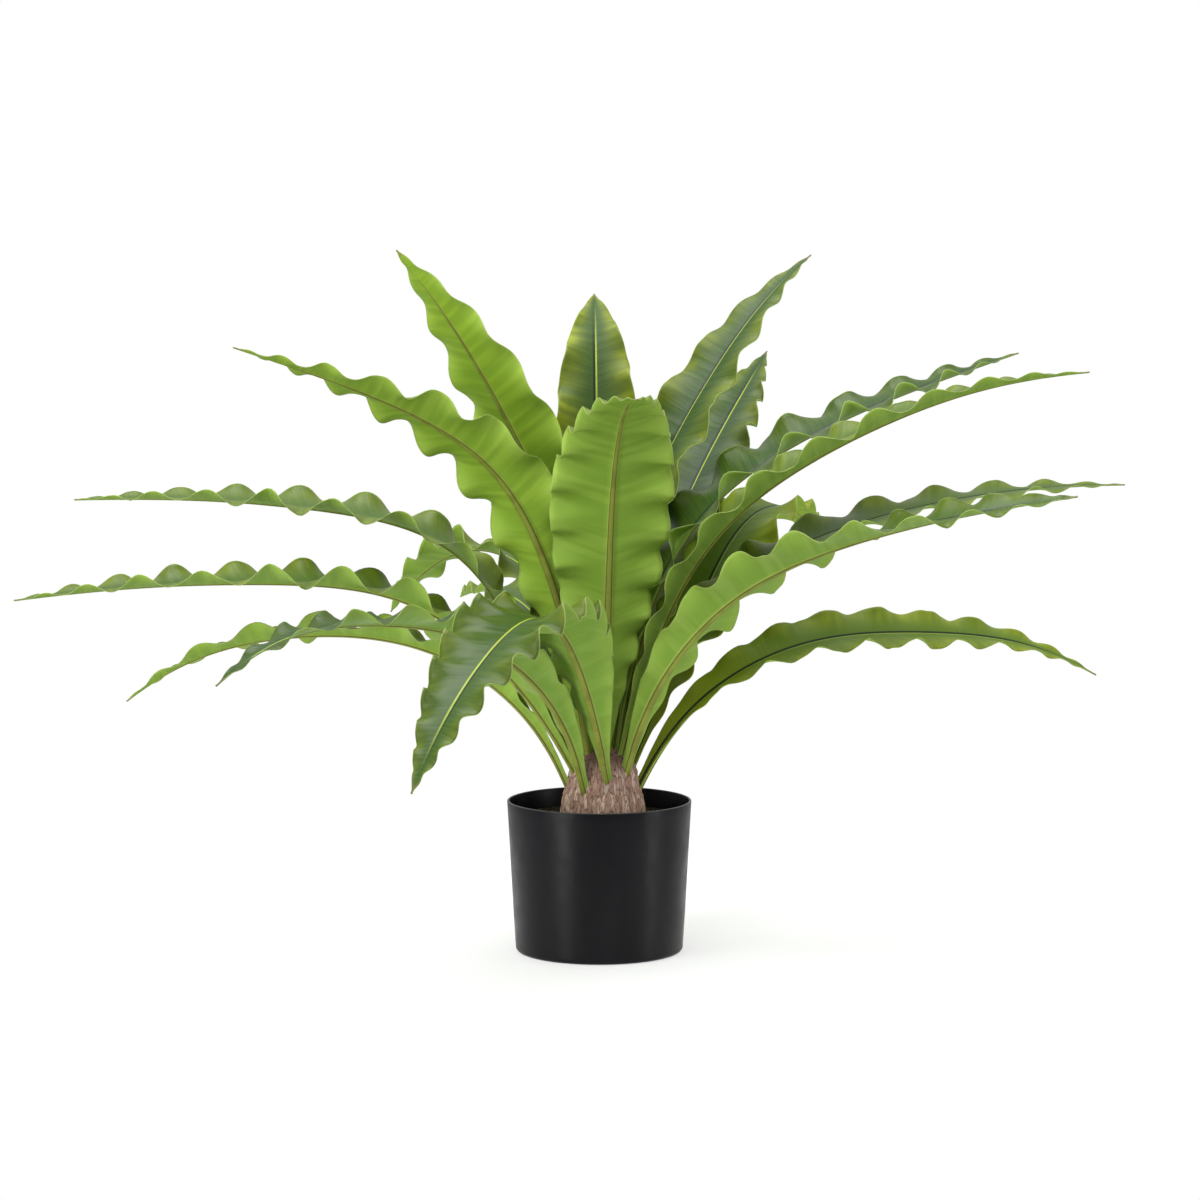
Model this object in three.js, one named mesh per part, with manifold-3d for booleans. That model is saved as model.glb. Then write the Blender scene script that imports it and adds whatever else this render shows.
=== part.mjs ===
import * as THREE from 'three';
import { mergeVertices } from 'three/addons/utils/BufferGeometryUtils.js';
import Module from 'manifold-3d';

// A potted bird's nest fern: long waved fronds on a short bark-covered stump, in a plain plant pot.
// Millimetres, +Z up, origin at the centre of the pot's flat base, -Y towards the viewer.

// Pot: one thin tapered moulding with a flat base
const POT_HEIGHT = 128;
const POT_RIM_RADIUS = 77.5;
const POT_BASE_RADIUS = 70.5;
const POT_WALL = 2;
const POT_FLOOR = 3;
const POT_EDGE_RADIUS = 4;
const POT_LIP = 0.7;
const POT_EDGE_STEPS = 3;
const POT_SIDES = 44;

// Small gap between pieces that stand in one another
const GAP = 0.3;

// Potting mix: fills the pot to a little below its rim
const MIX_TOP = 112;
const MIX_LUMP = 1.2;
const MIX_LUMP_RINGS = [66, 56, 47];
const MIX_SIDES = 24;

// Stump: a short cone of old frond bases, sunk in the mix and a little right of the pot's axis
const STUMP_X = 3;
const STUMP_BOTTOM = 60;
const STUMP_FOOT_RADIUS = 36;
const STUMP_SIDES = 36;
const STUMP_CREST = 172;
const STUMP_OUTLINE = [[36, 119], [34, 128], [31, 140], [28.5, 152], [25, 161], [19, 168], [10, 171.5]];
const STUMP_LIP = 1;
const BARK_RIDGES = 13;
const BARK_RIDGE_HEIGHT = 0.6;
const BARK_FLAKE_HEIGHT = 0.5;
const BARK_WANDER = 1.5;

// Fronds: the half thickness of the blade, its rib, and how deep its foot stands in the stump
const HALF_BLADE = 0.45;
const FOOT_DEPTH = 13;
const FOOT_HALF_WIDTH = 5.5;
const RIB_HALF_WIDTH = [3.6, 2.6, 0.8];
const RIB_DEPTH = [2.4, 1.6, 0.4];
const RIB_MOST = 0.5;
const STATIONS_PER_WAVE = 3;
const MARGIN_STEPS = 6;
const PATH_STEPS = 4;

// A blade's outline, as shares of its length: the even foot, the widest place, and its two curves
const FOOT_SHARE = 0.02;
const WIDEST_SHARE = 0.5;
const GROW_CURVE = 1.25;
const FADE_CURVE = 1.9;
const TIP_HALF_WIDTH = 1;

// Waves along a blade's margins: where they start and are full, how they vary, and how short they are,
// against an even wave, at the foot and at the tip
const WAVE_START = 0.01;
const WAVE_FULL = 0.26;
const WAVE_LEAST = 0.75;
const WAVE_VARIES = 0.7;
const WAVE_AT_FOOT = 0.55;
const WAVE_AT_TIP = 0.3;
const WAVE_PHASE = 0.125;
const MARGIN_SHIFT = 0.25;
const CURL_CURVE = 1.5;

// Sockets: plain holes in the stump, a little larger than a frond's foot
const SOCKET_PLAY = 0.6;
const SOCKET_SHOULDER = 2.4;
const SOCKET_KEEL = 2;
const SOCKET_REACH = 14;

// Each frond: where it leaves the stump (angle, radius from the stump's axis, height), the compass
// heading and the rise of its rib at even steps from foot to tip, the roll of its blade about the rib,
// the lift of its two halves (all in degrees), and the waves along its margins.
const FRONDS = [
  { name: 'frond_01', root: [172, 12, 171], heading: [211, 206, 201], rise: [88, 79, 65, 58, 50],
    roll: [50, 36, 24], lift: [30, 12, 8], length: 462, width: 80, fadeCurve: 2.6, waves: 10, ruffle: 22 },
  { name: 'frond_02', root: [218, 16, 167], heading: [213, 213, 208], rise: [82, 74, 60, 31, 20, 18],
    roll: [62, 32, 4], lift: [30, 12, 10], length: 521, width: 76, waves: 12, ruffle: 34 },
  { name: 'frond_03', root: [277, 15, 167], heading: [275, 276, 278], rise: [80, 77, 67, 35, 2],
    roll: [0, 0, 0], lift: [25, 8, 8], length: 411, width: 102, widest: 0.55, waves: 14, ruffle: 22 },
  { name: 'frond_04', root: [118, 9, 173], heading: [92, 92, 91], rise: [88, 84, 78, 64, 30],
    roll: [0, 0, 0], lift: [30, 12, 8], length: 412, width: 72, widest: 0.55, fadeCurve: 2.6,
    waves: 9, ruffle: 20 },
  { name: 'frond_05', root: [78, 13, 171], heading: [49, 46, 45], rise: [84, 76, 54, 44, 30],
    roll: [-6, 0, 0], lift: [30, 15, 10], length: 508, width: 76, waves: 11, ruffle: 20 },
  { name: 'frond_06', root: [30, 18, 167], heading: [64, 67, 71], rise: [72, 56, 38, 28, 24],
    roll: [0, 0, 0], lift: [30, 12, 8], length: 500, width: 78, waves: 13, ruffle: 30 },
  { name: 'frond_07', root: [352, 12, 171], heading: [13, 19, 33], rise: [82, 66, 32, 18, 14],
    roll: [0, 0, 0], lift: [30, 16, 14], length: 550, width: 84, waves: 12, ruffle: 34 },
  { name: 'frond_08', root: [328, 19, 167], heading: [333, 343, 348], rise: [75, 63, 35, 21, 6],
    roll: [14, 8, -8], lift: [30, 20, 16], length: 550, width: 68, waves: 13, ruffle: 28 },
  { name: 'frond_09', root: [22, 26, 153], heading: [50, 60, 60], rise: [54, 52, 40, 2, -45],
    roll: [0, 0, 0], lift: [30, 12, 8], length: 430, width: 94, waves: 11, ruffle: 28 },
  { name: 'frond_10', root: [348, 23, 162], heading: [8, 10, 12], rise: [78, 47, 20, 8, 0],
    roll: [10, 8, 6], lift: [30, 7, 5], length: 530, width: 82, waves: 12, ruffle: 24 },
  { name: 'frond_11', root: [318, 28, 157], heading: [325, 330, 340], rise: [72, 48, 24, 14, 10],
    roll: [-28, -12, 30], lift: [26, 17, 17], length: 495, width: 78, waves: 12, ruffle: 32 },
  { name: 'frond_12', root: [0, 32, 141], heading: [26, 28, 20], rise: [60, 27, 2, -8, -28],
    roll: [10, 26, 26], lift: [30, 14, 10], length: 500, width: 59, waves: 13, ruffle: 22 },
  { name: 'frond_13', root: [172, 25, 157], heading: [180, 184, 184], rise: [62, 65, 16, 4, -1],
    roll: [-6, -4, 0], lift: [30, 13, 16], length: 530, width: 78, waves: 12, ruffle: 31 },
  { name: 'frond_14', root: [131, 23, 159], heading: [125, 135, 142], rise: [79, 69, 29, -20, -50],
    roll: [0, 8, 8], lift: [30, 14, 10], length: 364, width: 92, waves: 11, ruffle: 30 },
  { name: 'frond_15', root: [206, 27, 154], heading: [196, 198, 194], rise: [61, 42, 8, -1, -6],
    roll: [0, 0, 0], lift: [30, 15, 16], length: 535, width: 80, waves: 12, ruffle: 32 },
  { name: 'frond_16', root: [182, 31, 143], heading: [184, 191, 197], rise: [66, 37, 8, -11, -36],
    roll: [0, 12, 24], lift: [30, 16, 12], length: 431, width: 70, waves: 10, ruffle: 30 },
  { name: 'frond_17', root: [238, 32, 143], heading: [227, 228, 219], rise: [72, 38, 13, -2, -34],
    roll: [0, 8, 4], lift: [30, 14, 10], length: 470, width: 78, waves: 11, ruffle: 30 },
  { name: 'frond_18', root: [274, 29, 152], heading: [245, 251, 237], rise: [68, 46, 0, -29, -53],
    roll: [0, 0, 0], lift: [25, 12, 10], length: 480, width: 96, waves: 15, ruffle: 28 },
  { name: 'frond_19', root: [82, 27, 150], heading: [80, 82, 84], rise: [56, 40, 16, -8, -30],
    roll: [0, 0, 0], lift: [30, 16, 12], length: 460, width: 74, waves: 9, ruffle: 32 },
  { name: 'frond_20', root: [113, 27, 150], heading: [112, 114, 114], rise: [60, 46, 20, 0, -15],
    roll: [0, 0, 0], lift: [30, 16, 12], length: 350, width: 70, waves: 9, ruffle: 34 },
];

const wasm = await Module();
wasm.setup();

const radians = THREE.MathUtils.degToRad;
const smooth = (from, to, value) => THREE.MathUtils.smoothstep(value, from, to);

// A repeatable draw between 0 and 1
function draw(seed, index) {
  const value = Math.sin(seed * 78.233 + index * 12.9898) * 43758.5453;
  return value - Math.floor(value);
}

// A smooth value through evenly spaced ones, at a share of the whole length
function along(values, share) {
  const last = values.length - 1;
  const index = Math.min(Math.floor(share * last), last - 1);
  const u = share * last - index;
  const start = values[index];
  const end = values[index + 1];
  const startSlope = (end - (values[index - 1] ?? start)) / 2;
  const endSlope = ((values[index + 2] ?? end) - start) / 2;
  const bend = 3 * (end - start) - 2 * startSlope - endSlope;
  const twist = 2 * (start - end) + startSlope + endSlope;
  return start + u * (startSlope + u * (bend + u * twist));
}

// The rib's place, its direction, and the blade's side and upper-face directions at even stations
function ribStations(frond) {
  const count = frond.waves * STATIONS_PER_WAVE;
  const angle = radians(frond.root[0]);
  const [, radius, height] = frond.root;
  const place = new THREE.Vector3(STUMP_X + radius * Math.cos(angle), radius * Math.sin(angle), height);
  const frames = [];
  for (let k = 0; k <= count; k += 1) {
    const share = pace(k / count);
    frames.push({ ...directions(frond, share), place: place.clone(), share, turns: k / STATIONS_PER_WAVE });
    const step = (pace((k + 1) / count) - share) / PATH_STEPS;
    for (let j = 0; j < PATH_STEPS && k < count; j += 1) {
      place.addScaledVector(directions(frond, share + (j + 0.5) * step).ahead, step * frond.length);
    }
  }
  const sink = frames[0].ahead.clone().multiplyScalar(-FOOT_DEPTH);
  frames.unshift({ ...frames[0], place: frames[0].place.clone().add(sink) });
  return frames;
}

// Waves are longest where the blade is wide, and draw closer towards the foot and the tip
function pace(part) {
  const bend = 3 - 2 * WAVE_AT_FOOT - WAVE_AT_TIP;
  const twist = WAVE_AT_FOOT + WAVE_AT_TIP - 2;
  return part * (WAVE_AT_FOOT + part * (bend + part * twist));
}

function directions(frond, share) {
  const heading = radians(along(frond.heading, share));
  const rise = radians(along(frond.rise, share));
  const roll = radians(along(frond.roll, share));
  const ahead = new THREE.Vector3(
    Math.cos(rise) * Math.cos(heading), Math.cos(rise) * Math.sin(heading), Math.sin(rise));
  const side = new THREE.Vector3(Math.sin(heading), -Math.cos(heading), 0).applyAxisAngle(ahead, roll);
  const face = new THREE.Vector3().crossVectors(side, ahead);
  return { ahead, side, face };
}

// Half the blade's width: narrow at the foot, widest past the middle, drawn out to a point
function halfWidth(frond, share) {
  const { widest = WIDEST_SHARE, fadeCurve = FADE_CURVE } = frond;
  if (share < widest) {
    const grow = Math.sin((Math.max(share - FOOT_SHARE, 0) / (widest - FOOT_SHARE)) * Math.PI / 2);
    const foot = 2 * FOOT_HALF_WIDTH / frond.width;
    return frond.width / 2 * (foot + (1 - foot) * grow ** GROW_CURVE);
  }
  const fade = (share - widest) / (1 - widest);
  return Math.max(frond.width / 2 * (1 - fade ** fadeCurve), TIP_HALF_WIDTH);
}

// How far a margin leans out of the blade's plane, in degrees; the two margins are out of step
function ruffle(frond, side, frame) {
  const number = FRONDS.indexOf(frond) + 1;
  const turns = frame.turns + WAVE_PHASE + (side > 0 ? 0 : MARGIN_SHIFT * (1 + number % 3));
  const crest = turns * 2 - 0.5;
  const index = Math.floor(crest);
  const seed = number + FRONDS.length * 2 * side;
  const strength = THREE.MathUtils.lerp(draw(seed, index), draw(seed, index + 1), crest - index);
  const reach = smooth(WAVE_START, WAVE_FULL, frame.share);
  return frond.ruffle * reach * (WAVE_LEAST + WAVE_VARIES * strength) * Math.sin(turns * Math.PI * 2);
}

// A point of the blade, from the rib (out = 0) to the margin (out = 1) on one side
function bladePoint(frond, frame, side, out) {
  const width = halfWidth(frond, frame.share) * out;
  const lift = along(frond.lift, frame.share);
  const wave = ruffle(frond, side, frame);
  let across = 0;
  let up = 0;
  for (let k = 0; k < MARGIN_STEPS; k += 1) {
    const reach = out * (k + 0.5) / MARGIN_STEPS;
    const lean = radians(lift + wave * reach ** CURL_CURVE);
    across += width / MARGIN_STEPS * Math.cos(lean);
    up += width / MARGIN_STEPS * Math.sin(lean);
  }
  return frame.place.clone().addScaledVector(frame.side, side * across).addScaledVector(frame.face, up);
}

// One frond: a thin waved blade with a rib beneath, split alike on both faces
function frondGeometry(frond) {
  const frames = ribStations(frond);
  const count = frames.length;
  const columns = [[-1, 1], [-1, 0], [0, 0], [1, 0], [1, 1]];
  const face = columns.length;
  const last = face - 1;
  const middle = frames.map((frame) => columns.map(([side, out]) => {
    if (side === 0) return frame.place;
    const rib = Math.min(along(RIB_HALF_WIDTH, frame.share) / halfWidth(frond, frame.share), RIB_MOST);
    return bladePoint(frond, frame, side, out || rib);
  }));
  const positions = [];
  for (let k = 0; k < count; k += 1) {
    for (const under of [false, true]) {
      for (let c = 0; c < columns.length; c += 1) {
        const ahead = middle[Math.min(k + 1, count - 1)][c].clone().sub(middle[Math.max(k - 1, 0)][c]);
        const across = middle[k][Math.min(c + 1, last)].clone().sub(middle[k][Math.max(c - 1, 0)]);
        const normal = across.cross(ahead).normalize();
        const rib = c === 2 && under ? along(RIB_DEPTH, frames[k].share) : 0;
        const point = middle[k][c].clone().addScaledVector(normal, under ? -HALF_BLADE - rib : HALF_BLADE);
        positions.push(point.x, point.y, point.z);
      }
    }
  }
  const index = [];
  const quad = (a, b, c, d) => index.push(a, b, c, a, c, d);
  for (let k = 0; k + 1 < count; k += 1) {
    const here = k * 2 * face;
    const next = here + 2 * face;
    for (let c = 0; c < last; c += 1) {
      const [p, q, r, s] = [here + c, here + c + 1, next + c + 1, next + c];
      if (c < last / 2) {
        quad(p, q, r, s);
        quad(p + face, s + face, r + face, q + face);
      } else {
        quad(q, r, s, p);
        quad(q + face, p + face, s + face, r + face);
      }
    }
    quad(here, next, next + face, here + face);
    quad(here + last, here + last + face, next + last + face, next + last);
  }
  const tip = (count - 1) * 2 * face;
  for (let c = 0; c < last; c += 1) {
    quad(c, c + face, c + face + 1, c + 1);
    quad(tip + c, tip + c + 1, tip + c + face + 1, tip + c + face);
  }
  const geometry = new THREE.BufferGeometry();
  geometry.setAttribute('position', new THREE.Float32BufferAttribute(positions, 3));
  geometry.setIndex(index);
  return geometry;
}

function solid(geometry) {
  const bare = geometry.clone();
  bare.deleteAttribute('normal');
  bare.deleteAttribute('uv');
  const merged = mergeVertices(bare, 1e-4);
  return new wasm.Manifold(new wasm.Mesh({
    numProp: 3,
    vertProperties: new Float32Array(merged.attributes.position.array),
    triVerts: new Uint32Array(merged.index.array),
  }));
}

function geometryOf(body) {
  const mesh = body.getMesh();
  const geometry = new THREE.BufferGeometry();
  geometry.setAttribute('position', new THREE.BufferAttribute(mesh.vertProperties, 3));
  geometry.setIndex(new THREE.BufferAttribute(mesh.triVerts, 1));
  return geometry;
}

// The plain hole in the stump that a frond's foot stands in
function socket(frond) {
  const { ahead, side, face } = directions(frond, 0);
  const foot = ribStations(frond)[0].place;
  const lift = radians(frond.lift[0]);
  const half = FOOT_HALF_WIDTH * Math.cos(lift) + SOCKET_PLAY;
  const top = FOOT_HALF_WIDTH * Math.sin(lift) + HALF_BLADE + SOCKET_PLAY;
  const keel = HALF_BLADE + RIB_DEPTH[0] + SOCKET_PLAY;
  const shoulder = top - SOCKET_SHOULDER;
  const outline = new THREE.Shape([
    new THREE.Vector2(-half, top), new THREE.Vector2(-half, shoulder), new THREE.Vector2(-SOCKET_KEEL, -keel),
    new THREE.Vector2(SOCKET_KEEL, -keel), new THREE.Vector2(half, shoulder), new THREE.Vector2(half, top)]);
  const hole = new THREE.ExtrudeGeometry(outline, { depth: FOOT_DEPTH + SOCKET_REACH, bevelEnabled: false });
  const start = foot.clone().addScaledVector(ahead, -GAP);
  hole.applyMatrix4(new THREE.Matrix4().makeBasis(side.clone().negate(), face, ahead));
  hole.translate(start.x, start.y, start.z);
  return solid(hole);
}

// The pot: its outline from the middle of the base, up the outside, over the lip and down the inside
function potGeometry() {
  const profile = [[0, 0]];
  for (let k = 0; k <= POT_EDGE_STEPS; k += 1) {
    const turn = (k / POT_EDGE_STEPS) * Math.PI / 2;
    profile.push([
      POT_BASE_RADIUS - POT_EDGE_RADIUS * (1 - Math.sin(turn)), POT_EDGE_RADIUS * (1 - Math.cos(turn))]);
  }
  profile.push([POT_RIM_RADIUS, POT_HEIGHT - POT_LIP], [POT_RIM_RADIUS - POT_LIP, POT_HEIGHT]);
  profile.push([POT_RIM_RADIUS - POT_WALL, POT_HEIGHT - POT_LIP]);
  profile.push([POT_BASE_RADIUS - POT_WALL, POT_FLOOR], [0, POT_FLOOR]);
  return turned(profile, POT_SIDES);
}

// A closed outline of radius and height, turned about the upright axis
function turned(profile, sides) {
  const geometry = new THREE.LatheGeometry(profile.map(([r, z]) => new THREE.Vector2(r, z)), sides);
  geometry.rotateX(Math.PI / 2);
  return geometry;
}

// The mix fills the pot to its lumpy top and leaves a round hollow for the stump
function mixGeometry() {
  const wallAt = (height) => POT_BASE_RADIUS - POT_WALL - GAP
    + (POT_RIM_RADIUS - POT_BASE_RADIUS) * (height - POT_FLOOR) / (POT_HEIGHT - POT_FLOOR);
  const hollow = (STUMP_FOOT_RADIUS + GAP) / Math.cos(Math.PI / MIX_SIDES);
  const floor = POT_FLOOR + GAP;
  const seat = STUMP_BOTTOM - GAP;
  const outer = [[0, floor], [wallAt(floor), floor], [wallAt(MIX_TOP), MIX_TOP]];
  const lumpy = MIX_LUMP_RINGS.map((radius) => [radius, MIX_TOP]);
  const rings = [...outer, ...lumpy, [hollow, MIX_TOP], [hollow, seat], [0, seat]];
  const geometry = turned(rings, MIX_SIDES);
  const points = geometry.attributes.position;
  for (let k = 0; k < points.count; k += 1) {
    const ring = k % rings.length;
    const sector = Math.floor(k / rings.length) % MIX_SIDES;
    if (ring >= outer.length + lumpy.length) {
      points.setX(k, points.getX(k) + STUMP_X);
    } else if (ring >= outer.length) {
      points.setZ(k, points.getZ(k) + MIX_LUMP * (2 * draw(ring, sector) - 1));
    }
  }
  return geometry;
}

// The stump: a round foot below the mix's top, and above it bark in flat flakes between ridges
function stumpGeometry() {
  const smoothRings = [
    [0, STUMP_BOTTOM], [STUMP_FOOT_RADIUS, STUMP_BOTTOM], [STUMP_FOOT_RADIUS, MIX_TOP - STUMP_LIP]];
  const rings = [...smoothRings, ...STUMP_OUTLINE, [0, STUMP_CREST]];
  const geometry = turned(rings, STUMP_SIDES);
  const points = geometry.attributes.position;
  for (let k = 0; k < points.count; k += 1) {
    const ring = k % rings.length;
    if (ring < smoothRings.length || ring === rings.length - 1) continue;
    const sector = Math.floor(k / rings.length) % STUMP_SIDES;
    const turn = (sector / STUMP_SIDES) * Math.PI * 2;
    const ridge = BARK_RIDGE_HEIGHT * Math.sin(turn * BARK_RIDGES + BARK_WANDER * Math.sin(ring));
    const flake = BARK_FLAKE_HEIGHT * (2 * draw(ring, sector) - 1);
    const grown = 1 + (ridge + flake) / Math.hypot(points.getX(k), points.getY(k));
    points.setX(k, points.getX(k) * grown);
    points.setY(k, points.getY(k) * grown);
  }
  geometry.translate(STUMP_X, 0, 0);
  let body = solid(geometry);
  for (const frond of FRONDS) body = body.subtract(socket(frond));
  return geometryOf(body);
}

const finish = (color, roughness) => new THREE.MeshStandardMaterial({ color, roughness, metalness: 0 });
const blackPlastic = finish(0x1c1d20, 0.45);
const darkMix = finish(0x1f1812, 0.95);
const bark = finish(0x8a6a55, 0.9);
const frondGreen = finish(0x5f8f2e, 0.4);

function named(name, geometry, material) {
  const mesh = new THREE.Mesh(geometry, material);
  mesh.name = name;
  return mesh;
}

const plant = new THREE.Group();
plant.add(named('pot', potGeometry(), blackPlastic));
plant.add(named('potting_mix', mixGeometry(), darkMix));
plant.add(named('stump', stumpGeometry(), bark));
for (const frond of FRONDS) plant.add(named(frond.name, frondGeometry(frond), frondGreen));

export default plant;
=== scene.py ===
import math
import bpy
import numpy as np
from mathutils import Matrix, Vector, noise


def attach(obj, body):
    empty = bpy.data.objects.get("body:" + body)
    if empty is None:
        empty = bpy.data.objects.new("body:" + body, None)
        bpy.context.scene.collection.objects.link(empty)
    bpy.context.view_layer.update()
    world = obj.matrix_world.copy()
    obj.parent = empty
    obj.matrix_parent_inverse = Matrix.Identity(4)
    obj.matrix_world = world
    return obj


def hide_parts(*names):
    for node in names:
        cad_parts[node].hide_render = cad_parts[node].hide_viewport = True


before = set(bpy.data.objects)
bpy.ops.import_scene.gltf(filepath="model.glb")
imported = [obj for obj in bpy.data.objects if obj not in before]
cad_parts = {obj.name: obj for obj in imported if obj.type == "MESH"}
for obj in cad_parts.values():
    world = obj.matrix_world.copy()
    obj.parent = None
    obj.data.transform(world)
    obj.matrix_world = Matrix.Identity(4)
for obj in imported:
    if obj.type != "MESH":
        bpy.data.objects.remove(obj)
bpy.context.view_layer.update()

# Plant pot
# A thin black plastic pot, moulded in one piece with a slight taper, a rounded lip and a low foot ring.
# Its outline is turned about the upright axis, and a satin bloom comes from the mould.
POT_BASE_RADIUS = 0.0705
POT_RIM_RADIUS = 0.0775
POT_HEIGHT = 0.128
POT_WALL = 0.002
POT_FLOOR = 0.003
POT_LIP = 0.0009
POT_INNER_LIP = 0.0006
POT_EDGE_RADIUS = 0.004
POT_WALL_ROWS = (0.03, 0.06, 0.09, 0.12)
POT_INNER_ROW = 0.1
FOOT_RING_RADIUS = 0.0625
FOOT_RING_WIDTH = 0.0025
FOOT_RING_ROUND = 0.001
FOOT_RING_HEIGHT = 0.0012
POT_SIDES = 240
POT_BLACK = (0.0048, 0.0045, 0.0062, 1)
POT_BLOOM = (0.0075, 0.0075, 0.0095, 1)
POT_LIP_HIGHLIGHT = (0.085, 0.085, 0.095, 1)
POT_ROUGHNESS = (0.28, 0.36)


def piece(name, points, faces, material, smooth=True):
    """A mesh piece from its points and faces, in metres, with its finish."""
    mesh = bpy.data.meshes.new(name)
    points = [tuple(map(float, point)) for point in points]
    mesh.from_pydata(points, [], [tuple(map(int, face)) for face in faces])
    mesh.polygons.foreach_set("use_smooth", [smooth] * len(mesh.polygons))
    mesh.materials.append(material)
    mesh.update()
    made = bpy.data.objects.new(name, mesh)
    bpy.context.scene.collection.objects.link(made)
    return made


def turned(profile, sides):
    """Points and faces of a closed outline of (radius, height), turned about the upright axis."""
    inner = profile[1:-1]
    points = [(0, 0, profile[0][1])]
    for turn in np.arange(sides) * 2 * math.pi / sides:
        points += [(r * math.cos(turn), r * math.sin(turn), z) for r, z in inner]
    points.append((0, 0, profile[-1][1]))
    rows = len(inner)
    top = len(points) - 1
    faces = []
    for k in range(sides):
        here = 1 + k * rows
        there = 1 + (k + 1) % sides * rows
        faces.append((0, there, here))
        faces += [(here + j, there + j, there + j + 1, here + j + 1) for j in range(rows - 1)]
        faces.append((here + rows - 1, there + rows - 1, top))
    return points, faces


def arc(centre, radius, start, end, steps):
    """Points on a circle in the outline's plane, with angles in degrees."""
    turns = np.radians(np.linspace(start, end, steps + 1))
    return [(centre[0] + radius * math.cos(t), centre[1] + radius * math.sin(t)) for t in turns]


def add(tree, kind, inputs=None, **settings):
    """A node with its settings, and its inputs joined to sockets or set to values."""
    made = tree.nodes.new(kind)
    for key, value in settings.items():
        setattr(made, key, value)
    for socket, value in (inputs or {}).items():
        if isinstance(value, bpy.types.NodeSocket):
            tree.links.new(value, made.inputs[socket])
        else:
            made.inputs[socket].default_value = value
    return made


def ranged(tree, value, low, high, to_low=0.0, to_high=1.0):
    """A value carried smoothly from one range to another."""
    inputs = {"Value": value, "From Min": low, "From Max": high, "To Min": to_low, "To Max": to_high}
    return add(tree, "ShaderNodeMapRange", inputs, interpolation_type="SMOOTHSTEP").outputs["Result"]


def mixed(tree, share, first, second):
    """Two colours mixed by a share."""
    made = add(tree, "ShaderNodeMix", data_type="RGBA")
    for socket, value in ((made.inputs[0], share), (made.inputs[6], first), (made.inputs[7], second)):
        if isinstance(value, bpy.types.NodeSocket):
            tree.links.new(value, socket)
        else:
            socket.default_value = value
    return made.outputs[2]


def finish(name, **sockets):
    """A material with one Principled shader whose plain numbers sit on its own sockets."""
    material = bpy.data.materials.new(name)
    material.use_nodes = True
    tree = material.node_tree
    shader = tree.nodes["Principled BSDF"]
    for key, value in sockets.items():
        shader.inputs[key.replace("_", " ")].default_value = value
    return material, tree, shader


def mottling_group():
    """Soft cloudy patches, between 0 and 1, shared by every finish of the plant and its pot."""
    group = bpy.data.node_groups.new("mottling", "ShaderNodeTree")
    for name, value in (("Scale", 20.0), ("Detail", 3.0), ("Low", 0.35), ("High", 0.65)):
        socket = group.interface.new_socket(name=name, in_out="INPUT", socket_type="NodeSocketFloat")
        socket.default_value = value
    group.interface.new_socket(name="Stretch", in_out="INPUT", socket_type="NodeSocketVector")
    group.interface.new_socket(name="Mask", in_out="OUTPUT", socket_type="NodeSocketFloat")
    given = group.nodes.new("NodeGroupInput")
    place = add(group, "ShaderNodeTexCoord").outputs["Object"]
    inputs = {0: place, 1: given.outputs["Stretch"]}
    stretched = add(group, "ShaderNodeVectorMath", inputs, operation="MULTIPLY").outputs[0]
    inputs = {"Vector": stretched, "Scale": given.outputs["Scale"], "Detail": given.outputs["Detail"]}
    cloud = add(group, "ShaderNodeTexNoise", inputs).outputs[0]
    mask = ranged(group, cloud, given.outputs["Low"], given.outputs["High"])
    add(group, "NodeGroupOutput", {"Mask": mask})
    return group


MOTTLING = mottling_group()


def mottled(tree, scale, detail=3.0, low=0.35, high=0.65, stretch=(1, 1, 1)):
    """The shared mottling, placed in a material with its own values."""
    values = {"Scale": scale, "Detail": detail, "Low": low, "High": high, "Stretch": stretch}
    return add(tree, "ShaderNodeGroup", values, node_tree=MOTTLING).outputs["Mask"]


def bumped(tree, shader, height, strength, distance):
    """A finish's fine relief, with its full height in metres."""
    inputs = {"Height": height, "Strength": strength, "Distance": distance}
    made = add(tree, "ShaderNodeBump", inputs)
    tree.links.new(made.outputs[0], shader.inputs["Normal"])


pot_black, tree, shader = finish("satin black plastic", Specular_IOR_Level=0.2)
bloom = mottled(tree, 28, 4, 0.4, 0.75, (1, 1, 0.25))
place = add(tree, "ShaderNodeTexCoord").outputs["Object"]
height = add(tree, "ShaderNodeSeparateXYZ", {0: place}).outputs["Z"]
# Painted highlight: the thin band at the top of the lip is lighter, standing in for the light the rounded
# lip catches.
lip = ranged(tree, height, POT_HEIGHT - POT_LIP, POT_HEIGHT)
black = mixed(tree, bloom, POT_BLACK, POT_BLOOM)
tree.links.new(mixed(tree, lip, black, POT_LIP_HIGHLIGHT), shader.inputs["Base Color"])
tree.links.new(ranged(tree, mottled(tree, 60, 3), 0, 1, *POT_ROUGHNESS), shader.inputs["Roughness"])
bumped(tree, shader, mottled(tree, 1800, 2, 0.2, 0.8), 0.12, 0.0002)

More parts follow.
